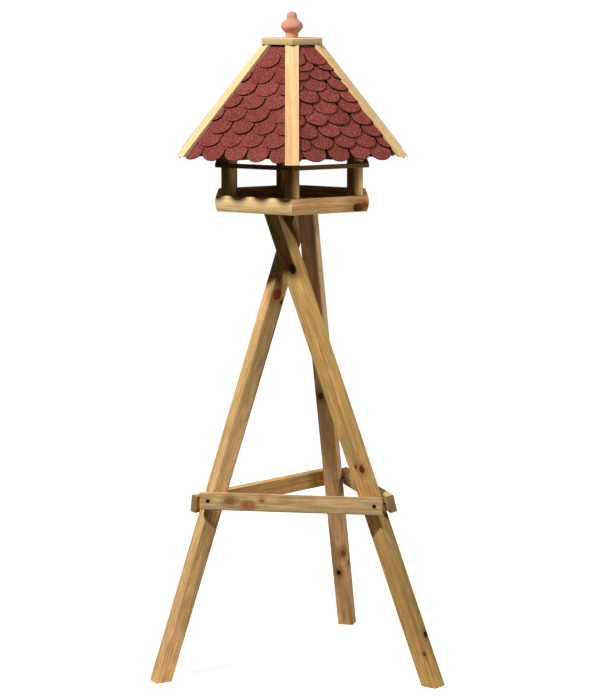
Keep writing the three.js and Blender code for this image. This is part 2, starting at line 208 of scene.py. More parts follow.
def shaded(tree, colour, shade):
    """The colour times a grey shade."""
    grey = add_node(tree, "ShaderNodeCombineColor", {0: shade, 1: shade, 2: shade}).outputs[0]
    return mixed(tree, 1.0, colour, grey, "MULTIPLY")


def object_place(tree):
    return tree.nodes.new("ShaderNodeTexCoord").outputs["Object"]


def stored(tree, name, output="Fac"):
    """A value that the mesh carries."""
    return add_node(tree, "ShaderNodeAttribute", attribute_name=name).outputs[output]


def noise(tree, vector, scale, detail, output="Fac"):
    """Soft noise. The scale may be three numbers, where it differs by direction."""
    if isinstance(scale, tuple):
        vector = calculate_vector(tree, "MULTIPLY", vector, scale)
        scale = 1
    inputs = {"Vector": vector, "Scale": scale, "Detail": detail}
    return add_node(tree, "ShaderNodeTexNoise", inputs).outputs[output]


def eased(tree, value, low, high, start=0.0, end=1.0):
    """From start, where value is under low, to end, where it is over high, with soft turns."""
    inputs = {"Value": value, "From Min": low, "From Max": high, "To Min": start, "To Max": end}
    return add_node(tree, "ShaderNodeMapRange", inputs, interpolation_type="SMOOTHSTEP").outputs[0]


def new_group(name, inputs, outputs):
    """An empty node group with named sockets, and the sockets of its input and output nodes."""
    tree = bpy.data.node_groups.new(name, "ShaderNodeTree")
    for socket, (kind, value) in inputs.items():
        tree.interface.new_socket(socket, in_out="INPUT", socket_type=kind).default_value = value
    for socket, kind in outputs.items():
        tree.interface.new_socket(socket, in_out="OUTPUT", socket_type=kind)
    return tree, tree.nodes.new("NodeGroupInput").outputs, tree.nodes.new("NodeGroupOutput").inputs


def place_group(tree, group, inputs):
    """Puts a node group in a material, with its own values."""
    node = tree.nodes.new("ShaderNodeGroup")
    node.node_tree = group
    for socket, value in inputs.items():
        feed(tree, node.inputs[socket], value)
    return node.outputs


def new_material(name):
    material = bpy.data.materials.new(name)
    material.use_nodes = True
    return material, material.node_tree, material.node_tree.nodes["Principled BSDF"]


def give_relief(tree, shader, height, strength, depth):
    """Bumps of this depth where the height goes from 0 to 1."""
    bump = add_node(
        tree, "ShaderNodeBump", {"Strength": strength, "Distance": depth, "Height": height}
    )
    feed(tree, shader.inputs["Normal"], bump.outputs[0])


NUMBER = "NodeSocketFloat"
VECTOR = "NodeSocketVector"
COLOUR = "NodeSocketColor"
A_PLACE = (VECTOR, (0, 0, 0))
A_COLOUR = (COLOUR, (1, 1, 1, 1))
print("helpers for nodes are ready")

# %% [markdown]
# ## Floor and background
# The table stands on a plain pale floor in front of white. The camera should see white and only a
# soft shadow, while the table gets little light from below: in the photograph a warm glimmer, from
# the floor close by, reaches the leg behind and the underside of the roof, and no more. So both
# materials ask which kind of ray has come. One from the camera gets a dimmer floor with a glow
# added, so that what is lit reaches white and the shadow stays faint. Any other meets a floor
# that is warm near the table and dark further off, and a weak warm room in place of the white.

# %% Floor
FLOOR_SIZE = 60
FLOOR_BELOW = 0.0005
FLOOR_SEEN = (0.6, 0.6, 0.6, 1)
FLOOR_GLOW = 0.86
GLOW_REACH = (0.8, 2.4)
FLOOR_NEAR = (0.8, 0.7, 0.56, 1)
FLOOR_FAR = (0.05, 0.05, 0.05, 1)
NEAR_REACH = (0.4, 0.62)


def seen_directly(tree):
    """1 for rays that come from the camera, straight or by way of a mirror or glass."""
    kinds = tree.nodes.new("ShaderNodeLightPath").outputs
    seen = calculate(tree, "ADD", kinds["Is Camera Ray"], kinds["Is Glossy Ray"])
    seen = calculate(tree, "ADD", seen, kinds["Is Transmission Ray"])
    return calculate(tree, "MINIMUM", seen, 1.0)


def floor_material():
    material = bpy.data.materials.new("pale floor")
    material.use_nodes = True
    tree = material.node_tree
    tree.nodes.clear()
    seen = seen_directly(tree)
    reach = calculate_vector(tree, "LENGTH", object_place(tree))
    thrown_back = mixed(tree, eased(tree, reach, *NEAR_REACH), FLOOR_NEAR, FLOOR_FAR)
    colour = mixed(tree, seen, thrown_back, FLOOR_SEEN)
    lit = add_node(tree, "ShaderNodeBsdfDiffuse", {"Color": colour}).outputs[0]
    glow_share = eased(tree, reach, *GLOW_REACH, FLOOR_GLOW, 1.0)
    glow_strength = calculate(tree, "MULTIPLY", seen, glow_share)
    glow = add_node(tree, "ShaderNodeEmission", {"Strength": glow_strength}).outputs[0]
    both = add_node(tree, "ShaderNodeAddShader", {0: lit, 1: glow}).outputs[0]
    add_node(tree, "ShaderNodeOutputMaterial", {"Surface": both})
    return material


floor_mesh = bmesh.new()
bmesh.ops.create_grid(floor_mesh, x_segments=1, y_segments=1, size=FLOOR_SIZE / 2)
bmesh.ops.translate(floor_mesh, vec=(0, 0, -FLOOR_BELOW), verts=floor_mesh.verts)
floor = bpy.data.objects.new("floor", bpy.data.meshes.new("floor"))
floor_mesh.to_mesh(floor.data)
floor_mesh.free()
floor.data.materials.append(floor_material())
show(floor)
print("floor", FLOOR_SIZE, "m wide")

# %% World
WORLD_STRENGTH = 0.062
WORLD_WARM = (1, 0.8, 0.58, 1)
WORLD_WHITE = (1, 1, 1, 1)

world = bpy.data.worlds.new("white room")
bpy.context.scene.world = world
world.use_nodes = True
room = world.node_tree
background = room.nodes["Background"].inputs
seen = seen_directly(room)
feed(room, background["Color"], mixed(room, seen, WORLD_WARM, WORLD_WHITE))
feed(room, background["Strength"], eased(room, seen, 0.0, 1.0, WORLD_STRENGTH, 1.0))
bpy.context.scene.view_settings.view_transform = "Standard"
print("world strength", WORLD_STRENGTH)

# %% [markdown]
# ## Grain
# Pine is a stack of cones: a soft pale layer and a hard dark one for each year, round the pith.
# A board shows where its faces cut through them, so one pattern in three dimensions, rings round
# a line that lies inside or beside the timber, gives straight lines on one face and arches on the
# next, and they meet at the edge. Each piece carries its own measure of place: along, across and
# out from its middle. A knot pulls the rings round itself.

# %% Rings of the year
WANDER_SCALE = (2.2, 7, 7)
WANDER_DETAIL = 1.5
NOISE_MIDDLE = (0.5, 0.5, 0.5)
NOT_ALONG = (0, 1, 1)
CONE_SLOPE = (0.02, 1, 1)
LATE_WOOD_STARTS = (0.25, 0.85)
LATE_WOOD_ENDS = (0.9, 1.0)


def make_ring_group():
    tree, given, result = new_group(
        "rings of the year",
        {
            "Place": A_PLACE, "Pith": A_PLACE, "Ring Width": (NUMBER, 0.004),
            "Pull": (NUMBER, 0), "Wander": (NUMBER, 0.02),
        },
        {"Late Wood": NUMBER, "Year": NUMBER},
    )
    wander = noise(tree, given["Place"], WANDER_SCALE, WANDER_DETAIL, "Color")
    wander = calculate_vector(tree, "SUBTRACT", wander, NOISE_MIDDLE)
    wander = calculate_vector(tree, "MULTIPLY", wander, NOT_ALONG)
    wander = add_node(
        tree, "ShaderNodeVectorMath", {0: wander, "Scale": given["Wander"]}, operation="SCALE"
    ).outputs[0]
    place = calculate_vector(tree, "ADD", given["Place"], wander)
    place = calculate_vector(tree, "SUBTRACT", place, given["Pith"])
    place = calculate_vector(tree, "MULTIPLY", place, CONE_SLOPE)
    distance = calculate_vector(tree, "LENGTH", place)
    distance = calculate(tree, "SUBTRACT", distance, given["Pull"])
    rings = calculate(tree, "DIVIDE", distance, given["Ring Width"])
    phase = calculate(tree, "FRACT", rings)
    rise = eased(tree, phase, *LATE_WOOD_STARTS)
    drop = eased(tree, phase, *LATE_WOOD_ENDS, 1.0, 0.0)
    feed(tree, result["Late Wood"], calculate(tree, "MULTIPLY", rise, drop))
    year = calculate(tree, "FLOOR", rings)
    random_year = add_node(tree, "ShaderNodeTexWhiteNoise", {"W": year}, noise_dimensions="1D")
    feed(tree, result["Year"], random_year.outputs["Value"])
    return tree


ring_group = make_ring_group()
print("group", ring_group.name)

# %% Knots
KNOT_NOISE_SCALE = 160
KNOT_RAGGED = 0.5
KNOT_LENGTHWAYS = (0.72, 1, 1)
KNOT_RIM = (1.0, 1.4)
KNOT_HALO_REACH = (1.0, 3.6)
KNOT_RINGS = 16.0
KNOT_RING_EDGE = (-0.6, 0.9)
PULL_FALLS = 0.35
PULL_SHARE = 1.3


def make_knot_group():
    tree, given, result = new_group(
        "knot",
        {"Place": A_PLACE, "Centre": A_PLACE, "Radius": (NUMBER, 0.006)},
        {"Mask": NUMBER, "Pull": NUMBER, "Halo": NUMBER, "Core": NUMBER},
    )
    ragged = noise(tree, given["Place"], KNOT_NOISE_SCALE, 1)
    away = calculate_vector(tree, "SUBTRACT", given["Place"], given["Centre"])
    away = calculate_vector(tree, "MULTIPLY", away, KNOT_LENGTHWAYS)
    distance = calculate_vector(tree, "LENGTH", away)
    share = calculate(tree, "DIVIDE", distance, given["Radius"])
    share = calculate(tree, "MULTIPLY_ADD", ragged, KNOT_RAGGED, share)
    feed(tree, result["Mask"], eased(tree, share, *KNOT_RIM, 1.0, 0.0))
    feed(tree, result["Halo"], eased(tree, share, *KNOT_HALO_REACH, 1.0, 0.0))
    ripple = calculate(tree, "SINE", calculate(tree, "MULTIPLY", share, KNOT_RINGS))
    feed(tree, result["Core"], eased(tree, ripple, *KNOT_RING_EDGE))
    square = calculate(tree, "MULTIPLY", share, share)
    spread = calculate(tree, "MULTIPLY_ADD", square, PULL_FALLS, 1.0)
    pull = calculate(tree, "DIVIDE", given["Radius"], spread)
    feed(tree, result["Pull"], calculate(tree, "MULTIPLY", pull, PULL_SHARE))
    return tree


knot_group = make_knot_group()
print("group", knot_group.name)

# %% Colour of the grain
Layer = namedtuple("Layer", "scale detail low high dark light")

FIBRES = Layer((30, 520, 520), 3, 0.28, 0.72, 0.78, 1.16)
STREAKS = Layer((5, 260, 260), 3, 0.3, 0.7, 0.84, 1.12)
MOTTLES = Layer((30, 90, 90), 3, 0.32, 0.68, 0.88, 1.08)
STAINS = Layer((5, 26, 26), 3, 0.4, 0.66, 0.0, 1.0)
YEAR_STRENGTH = (0.1, 0.55)
LATE_WOOD_HEIGHT = 0.6


def layer_of(tree, place, layer):
    """Noise, and the shade that it gives: dark where it is low and light where it is high."""
    pattern = noise(tree, place, layer.scale, layer.detail)
    return pattern, eased(tree, pattern, layer.low, layer.high, layer.dark, layer.light)


def make_grain_group():
    tree, given, result = new_group(
        "pine grain",
        {
            "Place": A_PLACE, "Late Wood": (NUMBER, 0), "Year": (NUMBER, 0),
            "Early Colour": A_COLOUR, "Late Colour": A_COLOUR, "Stain Colour": A_COLOUR,
            "Stain": (NUMBER, 0.3), "Contrast": (NUMBER, 1),
        },
        {"Colour": COLOUR, "Height": NUMBER},
    )
    strength = eased(tree, given["Year"], 0.0, 1.0, *YEAR_STRENGTH)
    late = calculate(tree, "MULTIPLY", given["Late Wood"], strength)
    colour = mixed(tree, late, given["Early Colour"], given["Late Colour"])
    fibre, shade = layer_of(tree, given["Place"], FIBRES)
    for layer in (STREAKS, MOTTLES):
        shade = calculate(tree, "MULTIPLY", shade, layer_of(tree, given["Place"], layer)[1])
    shade = calculate(tree, "SUBTRACT", shade, 1.0)
    shade = calculate(tree, "MULTIPLY_ADD", shade, given["Contrast"], 1.0)
    colour = shaded(tree, colour, shade)
    stained = layer_of(tree, given["Place"], STAINS)[1]
    stained = calculate(tree, "MULTIPLY", stained, given["Stain"])
    feed(tree, result["Colour"], mixed(tree, stained, colour, given["Stain Colour"]))
    feed(tree, result["Height"], calculate(tree, "MULTIPLY_ADD", late, LATE_WOOD_HEIGHT, fibre))
    return tree


grain_group = make_grain_group()
print("group", grain_group.name)

# %% [markdown]
# ## Rubbed edges
# Planed timber is rubbed a little along its edges, where treatment has worn thin. The Bevel node
# gives the normal that the surface would have if its edges were rounder. Where that differs from
# the real normal, an edge is near.

# %% Edge mask
EDGE_REACH = 0.003
EDGE_SAMPLES = 4
EDGE_TURN = (0.8, 0.99)
WEAR = Layer(60, 2, 0.35, 0.6, 0.0, 1.0)


def make_edge_group():
    tree, given, result = new_group("rubbed edges", {"Place": A_PLACE}, {"Mask": NUMBER})
    bevel = add_node(tree, "ShaderNodeBevel", {"Radius": EDGE_REACH}, samples=EDGE_SAMPLES)
    plain = tree.nodes.new("ShaderNodeNewGeometry").outputs["Normal"]
    alike = calculate_vector(tree, "DOT_PRODUCT", bevel.outputs["Normal"], plain)
    near = eased(tree, alike, *EDGE_TURN, 1.0, 0.0)
    patchy = layer_of(tree, given["Place"], WEAR)[1]
    feed(tree, result["Mask"], calculate(tree, "MULTIPLY", near, patchy))
    return tree


edge_group = make_edge_group()
print("group", edge_group.name)

# %% [markdown]
# ## Pine, as a material
# One function makes every kind of pine on the table. The kinds differ in their two ring colours,
# in the stain of the treatment, in where the pith lies and in their knots. Roughness and a slight
# relief follow the same rings and fibres as the colour. The grey boards and the beech of the
# finial are kinds of it too, with colours of their own.

# %% Pine
Knot = namedtuple("Knot", "along across out radius colour")
Pine = namedtuple("Pine", "slot early late stain stained rubbed end contrast")

KINDS = {
    "brown": Pine("treated_pine", "cea468", "a06c36", "968a54", 0.3, "dcbd85", "8a7352", 1.0),
    "golden": Pine("treated_pine", "d0a668", "a4682e", "9c8248", 0.4, "e0c088", "86683f", 1.0),
    "yellow": Pine("treated_pine", "e6bc84", "b27c3e", "b0904c", 0.4, "f0d8aa", "94784c", 1.0),
    "light": Pine("treated_pine", "f6d29a", "cc9652", "ccac6c", 0.3, "f4e0b4", "a08858", 0.8),
    "reddish": Pine("treated_pine", "e0b688", "a87448", "a88c60", 0.35, "e6c6a4", "86684a", 1.0),
    "greyish": Pine("treated_pine", "d4af80", "98743f", "8c8456", 0.45, "e2caa4", "7f6c4e", 1.0),
    "orange": Pine("treated_pine", "f0c082", "ac602c", "d4a464", 0.4, "f0d094", "8a6a48", 1.0),
    "pale": Pine("pale_pine", "d6ba8a", "c4965e", "d4be96", 0.3, "e6d2ac", "a8946a", 0.4),
    # the dark kind is for the ring laths; part of its darkness is painted shade from the roof
    "dark": Pine("dark_pine", "946640", "644020", "605030", 0.4, "9a6e44", "503c26", 1.0),
    "honey": Pine("pale_pine", "d0b184", "b4824c", "d2ac74", 0.4, "e6cc98", "a8946a", 0.5),
    "grey": Pine("grey_board", "a39a8b", "7d7466", "8a8a80", 0.5, "b8b0a2", "8c8478", 1.0),
    "beech": Pine("beech", "be8972", "ae7662", "c29280", 0.4, "d0a496", "b4806c", 0.4),
}
WOOD_SHINE = 0.04
WOOD_RELIEF = (0.5, 0.0004)
ROUGHNESS_BY_HEIGHT = (0.2, 1.2, 0.78, 0.6)
KNOT_SHADE = 0.42
KNOT_HALO = "804a24"
HALO_STRENGTH = 0.55
END_STRENGTH = 0.6
RUBBED_STRENGTH = 0.45
SHIFT_STEP = 0.37


def pine(name, kind, pith, ring_width, knots=(), shift=None, wander=0.02):
    """Pine with rings round a pith, which lies across and out from the timber's middle."""
    if shift is None:
        shift = len(bpy.data.materials) * SHIFT_STEP
    colours = KINDS[kind]
    material, tree, shader = new_material(name)
    place = stored(tree, "wood_place", "Vector")
    moved = calculate_vector(tree, "ADD", place, (shift, 0, 0))
    pull = 0.0
    marks = []
    for knot in knots:
        centre = (knot.along, knot.across, knot.out)
        mark = place_group(tree, knot_group, {"Place": place, "Centre": centre, "Radius": knot.radius})
        pull = calculate(tree, "ADD", pull, mark["Pull"])
        marks.append((knot, mark))
    rings = place_group(tree, ring_group, {
        "Place": moved, "Pith": (shift, *pith), "Ring Width": ring_width, "Pull": pull, "Wander": wander,
    })
    grain = place_group(tree, grain_group, {
        "Place": moved, "Late Wood": rings["Late Wood"], "Year": rings["Year"],
        "Early Colour": paint(colours.early), "Late Colour": paint(colours.late),
        "Stain Colour": paint(colours.stain), "Stain": colours.stained, "Contrast": colours.contrast,
    })
    colour = grain["Colour"]
    for knot, mark in marks:
        halo = calculate(tree, "MULTIPLY", mark["Halo"], HALO_STRENGTH)
        colour = mixed(tree, halo, colour, paint(KNOT_HALO))
        red, green, blue, _ = paint(knot.colour)
        dark = (red * KNOT_SHADE, green * KNOT_SHADE, blue * KNOT_SHADE, 1)
        inside = mixed(tree, mark["Core"], paint(knot.colour), dark)
        colour = mixed(tree, mark["Mask"], colour, inside)
    end = calculate(tree, "MULTIPLY", stored(tree, "wood_end"), END_STRENGTH)
    colour = mixed(tree, end, colour, paint(colours.end))
    edge = place_group(tree, edge_group, {"Place": moved})["Mask"]
    edge = calculate(tree, "MULTIPLY", edge, RUBBED_STRENGTH)
    feed(tree, shader.inputs["Base Color"], mixed(tree, edge, colour, paint(colours.rubbed)))
    feed(tree, shader.inputs["Roughness"], eased(tree, grain["Height"], *ROUGHNESS_BY_HEIGHT))
    shader.inputs["Specular IOR Level"].default_value = WOOD_SHINE
    give_relief(tree, shader, grain["Height"], *WOOD_RELIEF)
    return material


print("kinds of pine", list(KINDS))

# %% [markdown]
# ## Working from the frame's pieces
# Most pieces are straight timbers, sawn at an angle at their ends. The frame has each one as a
# plain solid. Its two largest pairs of sides give the way it lies, its extents give the section,
# and the sides that cross its length are the saw cuts. A new bar is made to those measures, cut
# by the same planes and has its edges rounded, so that it fits as the plain one does.

# %% How a timber lies
Side = namedtuple("Side", "normal area point")
Lie = namedtuple("Lie", "place size ends")

SAME_SPOT = 0.01 * MM
SAME_PLANE = 0.1 * MM
SAME_WAY = 0.9999
SQUARE_TO = 0.05
LEVEL = 0.01
FACES_END = 0.3
LEAST_END = 0.0001


def merged(node):
    """A copy of a frame piece with its loose triangles joined."""
    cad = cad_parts[node]
    copy = bmesh.new()
    copy.from_mesh(cad.data)
    copy.transform(cad.matrix_world)
    bmesh.ops.remove_doubles(copy, verts=copy.verts, dist=SAME_SPOT)
    return copy


def height_over(side, spot):
    """How far outside a flat side a spot lies."""
    return (spot - side.point).dot(side.normal)


def flat_sides(solid):
    """The flat sides of a solid, the largest first."""
    found = []
    for face in solid.faces:
        corner = face.verts[0].co
        for number, side in enumerate(found):
            level = abs(height_over(side, corner)) < SAME_PLANE
            if level and side.normal.dot(face.normal) > SAME_WAY:
                found[number] = side._replace(area=side.area + face.calc_area())
                break
        else:
            found.append(Side(face.normal.copy(), face.calc_area(), corner.copy()))
    return sorted(found, key=lambda side: side.area, reverse=True)


def lie_of(node):
    """Where a timber lies, as a matrix of along, across and out, with its size and saw cuts."""
    solid = merged(node)
    found = flat_sides(solid)
    first = found[0].normal
    second = next(side.normal for side in found if abs(side.normal.dot(first)) < SQUARE_TO)
    along = first.cross(second).normalized()
    if along.z < -LEVEL or (abs(along.z) <= LEVEL and along.x < 0):
        along = -along
    out = max((first, -first, second, -second), key=lambda normal: -normal.y)
    across = out.cross(along)
    turn = Matrix((along, across, out)).transposed()
    spots = [turn.inverted() @ vertex.co for vertex in solid.verts]
    solid.free()
    low = Vector([min(spot[axis] for spot in spots) for axis in range(3)])
    high = Vector([max(spot[axis] for spot in spots) for axis in range(3)])
    place = Matrix.Translation(turn @ ((low + high) / 2)) @ turn.to_4x4()
    ends = [side for side in found if abs(side.normal.dot(along)) > FACES_END and side.area > LEAST_END]
    return Lie(place, high - low, ends)


print("leg_right is", [round(side / MM) for side in lie_of("leg_right").size], "mm")

# %% Sawing and rounding
SPARE = 0.004
SAW_WIDTH = 0.001 * MM
END_EDGE = 0.0004
RUNS_ALONG = 0.99


def everything(mesh):
    return mesh.verts[:] + mesh.edges[:] + mesh.faces[:]


def of_kind(parts, kind):
    """Only the points, edges or faces of a mixed list."""
    return [part for part in parts if isinstance(part, kind)]


def saw(mesh, point, normal, finish=0):
    """Cuts off what lies beyond a plane and closes the cut, in this one of its materials."""
    cut = bmesh.ops.bisect_plane(
        mesh, geom=everything(mesh), dist=SAW_WIDTH, plane_co=point, plane_no=normal, clear_outer=True
    )
    rim = of_kind(cut["geom_cut"], bmesh.types.BMEdge)
    for face in bmesh.ops.holes_fill(mesh, edges=rim, sides=0)["faces"]:
        face.material_index = finish


def ease(mesh, edges, radius, segments=3):
    """Rounds these edges."""
    bmesh.ops.bevel(
        mesh, geom=edges, offset=radius, offset_type="OFFSET", affect="EDGES",
        segments=segments, profile=0.5, material=-1, clamp_overlap=True,
    )


def plain_bar(lie):
    """A bar of the timber's section, a little too long."""
    bar = bmesh.new()
    bmesh.ops.create_cube(bar, size=1)
    bmesh.ops.scale(bar, vec=lie.size + Vector((SPARE, 0, 0)), verts=bar.verts)
    bmesh.ops.transform(bar, matrix=lie.place, verts=bar.verts)
    return bar


def saw_ends(bar, lie):
    for end in lie.ends:
        saw(bar, end.point, end.normal)


def along_of(place):
    return place.to_3x3().col[0]


def long_edges(bar, lie):
    found = []
    for edge in bar.edges:
        run = (edge.verts[0].co - edge.verts[1].co).normalized()
        if abs(run.dot(along_of(lie.place))) > RUNS_ALONG:
            found.append(edge)
    return found


def end_edges(bar, lie):
    along = along_of(lie.place)
    ends = [face for face in bar.faces if abs(face.normal.dot(along)) > FACES_END]
    return list({edge for face in ends for edge in face.edges})


def note_places(mesh, place):
    """Stores each point's place in its timber, which the grain is drawn by."""
    layer = mesh.verts.layers.float_vector.new("wood_place")
    into = place.inverted()
    for vertex in mesh.verts:
        vertex[layer] = into @ vertex.co
    ends = mesh.faces.layers.float.new("wood_end")
    mesh.normal_update()
    for face in mesh.faces:
        face[ends] = float(abs(face.normal.dot(along_of(place))) > FACES_END)


def finished(mesh, name, slot, materials, *nodes, sharp=40):
    """Makes the mesh a piece of the table, in place of these frame pieces."""
    bmesh.ops.recalc_face_normals(mesh, faces=mesh.faces)
    data = bpy.data.meshes.new(name)
    mesh.to_mesh(data)
    mesh.free()
    data.polygons.foreach_set("use_smooth", [True] * len(data.polygons))
    data.set_sharp_from_angle(angle=math.radians(sharp))
    for material in materials:
        data.materials.append(material)
    piece = bpy.data.objects.new(name, data)
    show(piece)
    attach(piece, "root")
    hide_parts(*nodes)
    return piece


def timber(node, kind, name, radius, pith, ring_width, knots=(), wander=0.02):
    """A planed timber in place of a frame piece."""
    lie = lie_of(node)
    bar = plain_bar(lie)
    saw_ends(bar, lie)
    ease(bar, long_edges(bar, lie), radius)
    ease(bar, end_edges(bar, lie), END_EDGE, 1)
    note_places(bar, lie.place)
    material = pine(f"pine of {node}", kind, pith, ring_width, knots, wander=wander)
    piece = finished(bar, name, KINDS[kind].slot, [material], node)
    flat = piece.modifiers.new("flat sides stay flat", "WEIGHTED_NORMAL")
    flat.keep_sharp = True
    print(name, [round(side / MM, 1) for side in lie.size], "mm")


# %% [markdown]
# ## Legs
# Three square legs of treated pine lean inwards and pass each other under the tray. They are
# planed, with edges rounded to a few millimetres, so each shows two faces with a soft bright
# line between them.

# %% Legs
LEG_EDGE = 0.0045

RIGHT_LEG_KNOTS = (
    Knot(0.39, -0.01, 0.018, 0.0085, "3c1e0c"), Knot(-0.0521, -0.0166, 0.0175, 0.0065, "6e3416"),
    Knot(-0.0428, -0.0033, 0.018, 0.0026, "5a2c10"), Knot(-0.4201, -0.018, -0.0074, 0.0055, "3a1a0a"),
    Knot(-0.161, -0.018, -0.0108, 0.003, "4a2c10"), Knot(-0.4564, -0.0177, 0.0163, 0.003, "6a4420"),
)
LEFT_LEG_KNOTS = (
    Knot(0.3257, 0.0019, 0.018, 0.0095, "9c4a26"), Knot(0.3117, -0.0127, 0.018, 0.0035, "4c2410"),
)
REAR_LEG_KNOTS = (
    Knot(0.0831, 0.0056, 0.018, 0.0065, "6a4424"), Knot(-0.3738, 0.0033, 0.018, 0.0055, "2c1408"),
    Knot(-0.3218, -0.0111, 0.018, 0.006, "8a6440"), Knot(-0.3552, -0.018, 0.0056, 0.005, "5a301a"),
)
timber("leg_right", "golden", "planed_leg_right", LEG_EDGE, (0.031, -0.03), 0.0048, RIGHT_LEG_KNOTS)
timber("leg_left", "yellow", "planed_leg_left", LEG_EDGE, (-0.02, 0.036), 0.0052, LEFT_LEG_KNOTS)
timber("leg_rear", "reddish", "planed_leg_rear", LEG_EDGE, (0.012, -0.04), 0.0046, REAR_LEG_KNOTS)

# %% [markdown]
# ## Stretchers
# Flat laths are screwed to the outside of the legs and keep them apart. They are the same treated
# pine, a little crisper at their edges.

# %% Stretchers
STRETCHER_EDGE = 0.0018

FRONT_STRETCHER_KNOTS = (
    Knot(-0.1284, 0.0012, 0.008, 0.0065, "9a7040"), Knot(-0.0955, -0.0068, 0.008, 0.0048, "cc7a50"),
    Knot(-0.084, -0.0068, 0.008, 0.0048, "cc7a50"), Knot(-0.06, 0.004, 0.008, 0.003, "8a7040"),
)
timber(
    "stretcher_front", "greyish", "planed_stretcher_front", STRETCHER_EDGE, (0.004, -0.03), 0.005,
    FRONT_STRETCHER_KNOTS,
)
timber("stretcher_right", "greyish", "planed_stretcher_right", STRETCHER_EDGE, (0.02, 0.03), 0.005)
timber("stretcher_left", "brown", "planed_stretcher_left", STRETCHER_EDGE, (-0.024, 0.012), 0.004)

# %% [markdown]
# ## Posts
# Six turned dowels stand inside the tray's corners and carry the roof. A cone tool with equal
# ends gives the dowel, and the sloping cut at its head is the frame's own.

# %% Posts
POST_STEPS = 48
POST_RING_WIDTH = 0.0034
LEAST_HEAD = LEAST_END / 4
UPRIGHT = Matrix(((0, 1, 0), (0, 0, 1), (1, 0, 0))).to_4x4()


def dowel(node, pith):
    low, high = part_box(node)
    middle = (low + high) / 2
    radius = (high.x - low.x) / 2
    mesh = bmesh.new()
    bmesh.ops.create_cone(
        mesh, cap_ends=True, segments=POST_STEPS, radius1=radius, radius2=radius, depth=high.z - low.z
    )
    bmesh.ops.translate(mesh, vec=middle, verts=mesh.verts)
    plain = merged(node)
    for side in flat_sides(plain):
        if side.normal.z > FACES_END and side.area > LEAST_HEAD:
            saw(mesh, side.point, side.normal)
    plain.free()
    note_places(mesh, Matrix.Translation(middle) @ UPRIGHT)
    material = pine(f"pine of {node}", "brown", pith, POST_RING_WIDTH)
    finished(mesh, f"turned_{node}", "treated_pine", [material], node)


for number, corner in enumerate(CORNERS):
    pith = (0.006 - 0.003 * number, 0.004 * number - 0.008)
    dowel(f"post_{corner}", pith)
print(len(CORNERS), "posts of", POST_STEPS, "steps")

# %% [markdown]
# ## Ring
# Thin laths run round the posts' heads, mitred at the corners. They sit in the roof's shadow, and
# the dark kind of pine that they get paints part of that shade into their colour.

# %% Ring
LATH_EDGE = 0.0007
LATH_RING_WIDTH = 0.003

# The laths get the dark kind of pine, which paints part of the roof's shade into their colour.
for number, side in enumerate(SIDES):
    pith = (0.002 * number, 0.02)
    timber(f"ring_lath_{side}", "dark", f"planed_ring_{side}", LATH_EDGE, pith, LATH_RING_WIDTH)

# %% [markdown]
# ## Tray
# Six rims with a rounded outer face are mitred into a frame round the floor board. Each starts as
# a plain bar. Level cuts divide its outer face into strips, the points of that face are drawn in
# towards the top and bottom along a curve, and only then are the mitres sawn, so that they meet.

# %% Tray rims
RIM_STRIPS = 10
RIM_TOP_EDGE = 0.0012
RIM_RING_WIDTH = 0.0042
RIM_KINDS = {"front_left": "light", "right": "golden"}
RIM_KNOTS = {
    "front_right": (
        Knot(0.067, -0.008, 0.0085, 0.011, "4c2410"), Knot(0.081, -0.003, 0.006, 0.006, "94542c"),
    ),
}


def rim_face(node):
    """The outer face's distance from the feeder's axis, by height, from the frame's own rim."""
    direction = outwards(SIDES[node.removeprefix("tray_rim_")])
    plain = merged(node)
    outer = {}
    for vertex in plain.verts:
        height = round(vertex.co.z, 5)
        distance = round((vertex.co - feeder_axis).dot(direction), 5)
        outer[height] = max(distance, outer.get(height, 0))
    plain.free()
    return direction, sorted(outer.items())


def curve_through(outline, height):
    """The distance at a height, on a parabola through the lowest, fullest and highest points."""
    (low, at_low), (high, at_high) = outline[0], outline[-1]
    middle, at_middle = max(outline, key=lambda spot: spot[1])
    share = (height - low) * (height - high) / ((middle - low) * (middle - high))
    straight = at_low + (at_high - at_low) * (height - low) / (high - low)
    straight_middle = at_low + (at_high - at_low) * (middle - low) / (high - low)
    return straight + (at_middle - straight_middle) * share


def rim(node, kind, pith, knots):
    direction, outline = rim_face(node)
    lie = lie_of(node)
    bar = plain_bar(lie)
    low, high = outline[0][0], outline[-1][0]
    for strip in range(1, RIM_STRIPS):
        height = low + (high - low) * strip / RIM_STRIPS
        bmesh.ops.bisect_plane(bar, geom=everything(bar), plane_co=(0, 0, height), plane_no=UP)
    fullest = max(distance for _, distance in outline)
    for vertex in bar.verts:
        distance = (vertex.co - feeder_axis).dot(direction)
        if distance > fullest - SAME_PLANE:
            vertex.co += direction * (curve_through(outline, vertex.co.z) - distance)
    top_edges = [edge for edge in long_edges(bar, lie) if edge.verts[0].co.z > high - SAME_SPOT]
    ease(bar, top_edges, RIM_TOP_EDGE)
    saw_ends(bar, lie)
    note_places(bar, lie.place)
    material = pine(f"pine of {node}", kind, pith, RIM_RING_WIDTH, knots)
    finished(bar, f"rounded_{node}", "treated_pine", [material], node, sharp=30)


for number, side in enumerate(SIDES):
    pith = (0.012 - 0.006 * number, 0.014 + 0.004 * number)
    rim(f"tray_rim_{side}", RIM_KINDS.get(side, "orange"), pith, RIM_KNOTS.get(side, ()))
print(len(SIDES), "rims with", RIM_STRIPS, "strips")

# %% [markdown]
# ## Roof boards
# Each side of the roof has a rough grey board under its shingles. It shows only as a thin grey
# line in the notches of the eaves and from below, so the frame's own shape is enough: a merged
# copy of it, with the triangles of each flat side dissolved into one face, in the grey kind of
# pine. The tray's floor is made the same way.

# %% Boards and tray floor
BOARD_RING_WIDTH = 0.006
FLAT_WITHIN = math.radians(1)


